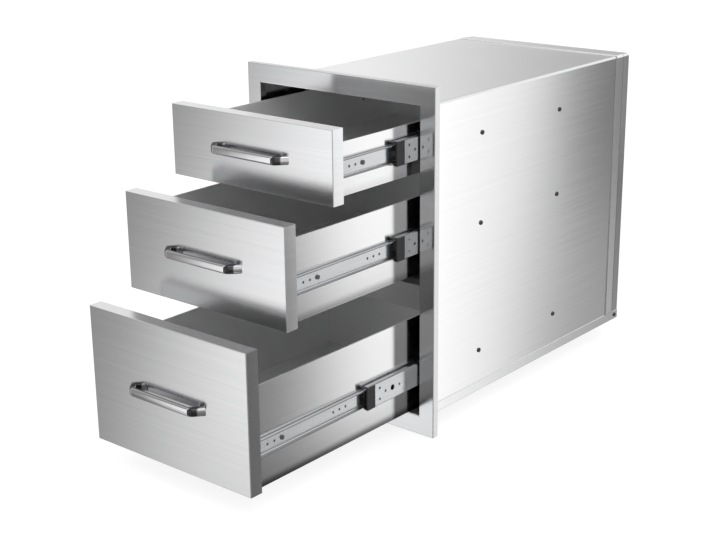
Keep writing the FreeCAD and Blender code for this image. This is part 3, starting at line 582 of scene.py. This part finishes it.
def bar_pull(drawer):
    """The smooth pull of one drawer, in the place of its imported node."""
    low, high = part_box(f"{drawer}_handle")
    half, face, front = high[0], high[1], low[1]
    foot_inside = half - FOOT
    shoulder_inside = foot_inside - CLEAR * (half - SHOULDER) / (face - front)
    back = face - CLEAR
    depth = (front + back) / 2
    middle = (low[2] + high[2]) / 2
    bm = bmesh.new()
    bar = bmesh.ops.create_cube(
        bm,
        size=1,
        matrix=Matrix.Translation((0, depth, middle))
        @ Matrix.Diagonal((2 * SHOULDER, back - front, high[2] - low[2], 1)),
    )
    for vert in bar["verts"]:
        if vert.co.y > depth:
            vert.co.x = math.copysign(shoulder_inside, vert.co.x)
    for side in SIDES.values():
        end = side_of(bm, (side * SHOULDER, depth, middle))
        leg = bmesh.ops.extrude_discrete_faces(bm, faces=[end])["faces"][0]
        for vert in leg.verts:
            vert.co.x = side * (half if vert.co.y < depth else foot_inside)
            vert.co.y = face
    bmesh.ops.recalc_face_normals(bm, faces=bm.faces)
    outer = upright_edges(bm, [(-SHOULDER, front), (SHOULDER, front)])
    rounded(bm, outer, SHOULDER_BEND, 10)
    inner = upright_edges(bm, [(-shoulder_inside, back), (shoulder_inside, back)])
    rounded(bm, inner, INNER_BEND, 6)
    rims = [
        edge
        for edge in bm.edges
        if abs(edge.verts[0].co.z - edge.verts[1].co.z) < 1e-6
        and not all(abs(vert.co.y - face) < 1e-6 for vert in edge.verts)
        and edge.calc_face_angle(0) > math.radians(60)
    ]
    rounded(bm, rims, RIM_RADIUS, 5)
    return finish_mesh(f"{drawer}_pull", bm, smooth_below=40)


for drawer in DRAWERS:
    pull = new_piece(
        f"{drawer}_pull", bar_pull(drawer), chrome, f"{drawer}_drawer"
    )
    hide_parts(f"{drawer}_handle")


# Studio floor: a pale sweep under the unit. It shows white to the camera and keeps a
# faint contact shadow, and mirrors see the white studio in its place.
floor_bm = bmesh.new()
bmesh.ops.create_circle(
    floor_bm,
    cap_ends=True,
    segments=64,
    radius=14.0,
    matrix=Matrix.Translation((0, 0, -0.0015)),
)
floor_mesh = bpy.data.meshes.new("studio_floor")
floor_bm.to_mesh(floor_mesh)
floor_bm.free()
floor_paint, finish = new_finish("floor_paint")
is_camera = finish.node("ShaderNodeLightPath", output="Is Camera Ray")
glow = finish.node(
    "ShaderNodeEmission", None, {"Color": (1, 1, 1, 1), "Strength": is_camera * 0.8}
)
pale = finish.node("ShaderNodeBsdfDiffuse", None, {"Color": (0.32, 0.32, 0.32, 1)})
finish.show(finish.node("ShaderNodeAddShader", None, {0: glow, 1: pale}))
floor_mesh.materials.append(floor_paint)
floor = bpy.data.objects.new("studio_floor", floor_mesh)
bpy.context.scene.collection.objects.link(floor)
floor.visible_glossy = False

# Studio light: an even white room with darker flags at some bearings, which the steel
# mirrors, and one large soft lamp above the right front. A flag is degrees and a tone.
FLAGS = (
    (0, 0.60), (30, 0.68), (36.5, 0.60), (41.5, 0.06), (47.1, 0.18), (48, 0.70),
    (49.2, 1.38), (51.5, 1.46), (54, 1.20), (56.6, 1.08), (58.0, 0.60), (59.2, 0.34),
    (66, 0.33), (121, 0.47), (129, 0.98), (140, 1.05), (190, 0.60), (208, 0.50),
    (215, 0.26), (219.5, 0.38), (221.3, 0.53), (223.7, 0.93), (226.8, 1.30),
    (230, 1.45), (237, 1.45), (240.5, 0.05), (257, 0.05), (264, 0.42), (286, 0.46),
    (301, 0.75), (318, 0.95), (360, 0.60),
)
BLACK, WHITE = (0.0, 0.0, 0.0, 1), (1.0, 1.0, 1.0, 1)


def of_turn(degrees):
    """A bearing as its share of a full turn."""
    return degrees / 360


world = bpy.data.worlds.new("studio")
world.use_nodes = True
bpy.context.scene.world = world
finish = Finish(world.node_tree)
direction = finish.node("ShaderNodeTexCoord", output="Generated")
east, north, height = finish.axes_of(direction)
turn = finish.node("ShaderNodeMath", {"operation": "ARCTAN2"}, {0: north, 1: east})
bearing = finish.node(
    "ShaderNodeMath", {"operation": "FRACT"}, {0: turn * (1 / math.tau) + 1.0}
)
in_front = finish.is_under(north, 0.0)
behind_below = (1.0 - in_front) * finish.is_under(height, 0.0)

# the front flags lean, and the light one behind narrows towards the floor
lean = in_front * (-0.30 - height) * 0.06
narrowing = behind_below * (-0.27 - height) * (bearing - of_turn(52.5)) * 1.5
flags = finish.node(
    "ShaderNodeValToRGB",
    {"stops": [(of_turn(degrees), tone) for degrees, tone in FLAGS]},
    {"Fac": bearing + lean + narrowing},
)

# darker flags behind near the horizon, and in front low down and near the floor
high_flag = behind_below * finish.rise(bearing, of_turn(57.6), of_turn(59.4))
high_flag = high_flag * finish.rise(height, -0.32, -0.20)
low_flag = in_front * finish.rise(bearing, of_turn(288), of_turn(296))
low_flag = low_flag * finish.rise(height, -0.24, -0.32)
floor_flag = in_front * finish.rise(height, -0.36, -0.45)
shaded = finish.blend(flags, BLACK, high_flag * 0.6)
shaded = finish.blend(shaded, BLACK, low_flag * 0.65)
shaded = finish.blend(shaded, BLACK, floor_flag * 0.32)

# the ceiling is white, and so is the upper wall behind the unit on the right
ceiling = finish.rise(height, 0.45, 0.70)
upper = finish.is_under(bearing, of_turn(105)) * finish.rise(height, -0.08, 0.05)
mirrored = finish.blend(shaded, WHITE, upper + (1.0 - upper) * ceiling)
is_glossy = finish.node("ShaderNodeLightPath", output="Is Glossy Ray")
is_camera = finish.node("ShaderNodeLightPath", output="Is Camera Ray")
room = finish.blend((0.85, 0.85, 0.85, 1), mirrored, is_glossy)
seen = finish.blend(room, WHITE, is_camera)
backing = finish.node("ShaderNodeBackground", None, {"Color": seen, "Strength": 1.0})
finish.show(backing, "World")

lamp_data = bpy.data.lights.new("soft_box", "AREA")
lamp_data.shape = "RECTANGLE"
lamp_data.size = 2.4
lamp_data.size_y = 1.6
lamp_data.energy = 18
lamp = bpy.data.objects.new("soft_box", lamp_data)
lamp.location = (1.6, -1.2, 2.4)
lamp_aim = Vector((0, 0, 0.25)) - lamp.location
lamp.rotation_euler = lamp_aim.to_track_quat("-Z", "Y").to_euler()
bpy.context.scene.collection.objects.link(lamp)

# Camera: on the right front of the unit, a little above it, as in the photograph. Its
# place, angles and lens were solved on the photograph's edges.
yaw, pitch, roll = math.radians(39.96), math.radians(17.91), math.radians(-0.62)
forward = Vector((-math.sin(yaw), math.cos(yaw), 0))
level = Vector((math.cos(yaw), math.sin(yaw), 0))
ahead = math.cos(pitch) * forward - math.sin(pitch) * Vector((0, 0, 1))
upward = level.cross(ahead)
right = math.cos(roll) * level + math.sin(roll) * upward
above = -math.sin(roll) * level + math.cos(roll) * upward
camera_data = bpy.data.cameras.new("camera")
camera_data.lens = 70.74
camera_data.sensor_width = 36
camera_data.sensor_fit = "HORIZONTAL"
camera = bpy.data.objects.new("camera", camera_data)
camera.matrix_world = (
    Matrix.Translation((1.31756, -1.53975, 0.87839))
    @ Matrix((right, above, -ahead)).transposed().to_4x4()
)
bpy.context.scene.collection.objects.link(camera)
bpy.context.scene.camera = camera
bpy.context.scene.view_settings.view_transform = "Standard"
